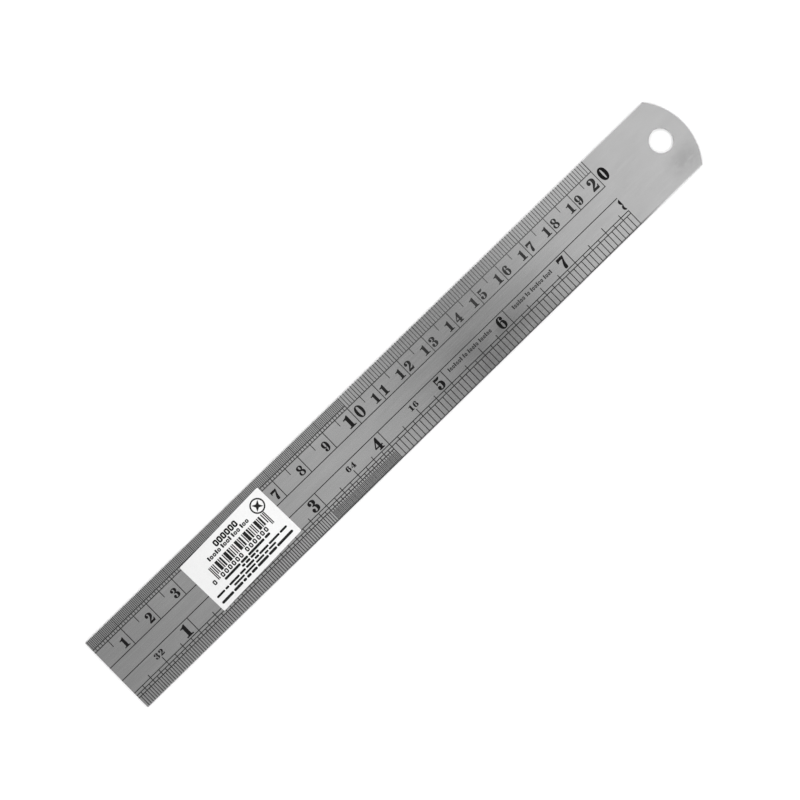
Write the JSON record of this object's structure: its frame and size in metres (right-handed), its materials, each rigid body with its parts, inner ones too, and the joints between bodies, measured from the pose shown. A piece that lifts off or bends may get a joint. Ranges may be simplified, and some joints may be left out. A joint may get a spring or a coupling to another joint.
{
  "type": "steel ruler",
  "caption": "Flat brushed-steel ruler with etched, black-filled metric and inch scales, a rounded end with a hanging hole, and a paper shelf label.",
  "frame": {"origin": "at the zero end of the scale, mid-width, on the underside of the blade", "axes": "+X along the scale from zero towards the hanging hole, +Y towards the metric edge, +Z out of the marked face"},
  "size_m": [0.2305, 0.0256, 0.0009],
  "materials": {
    "steel": "satin, grain along the length",
    "mark_paint": "matt black fill, slightly worn",
    "fresh_mark_paint": "matt black fill, unworn",
    "adhesive": "dull film",
    "label_paper": "smooth white label paper",
    "label_ink": "matt black print"
  },
  "bodies": {
    "root": {"blade": "steel", "half_millimetre_marks": "mark_paint", "millimetre_marks": "mark_paint", "five_millimetre_marks": "mark_paint", "centimetre_marks": "mark_paint", "metric_guide_lines": "mark_paint", "centimetre_numerals": "mark_paint", "decimetre_numerals": "mark_paint", "sixty_fourth_marks": "mark_paint", "thirty_second_marks": "mark_paint", "sixteenth_marks": "mark_paint", "eighth_marks": "mark_paint", "quarter_inch_marks": "mark_paint", "half_inch_marks": "mark_paint", "inch_marks": "mark_paint", "inch_guide_lines": "mark_paint", "inch_numerals": "mark_paint", "fraction_numerals": "mark_paint", "note_letters": "mark_paint", "end_zero": "fresh_mark_paint", "inch_six": "fresh_mark_paint", "label_adhesive": "adhesive", "label_paper": "label_paper", "label_heading": "label_ink", "label_subheading": "label_ink", "label_bars": "label_ink", "label_bar_digits": "label_ink", "label_small_print": "label_ink", "label_bold_line": "label_ink", "label_ring_mark": "label_ink"}
  },
  "joints": []
}
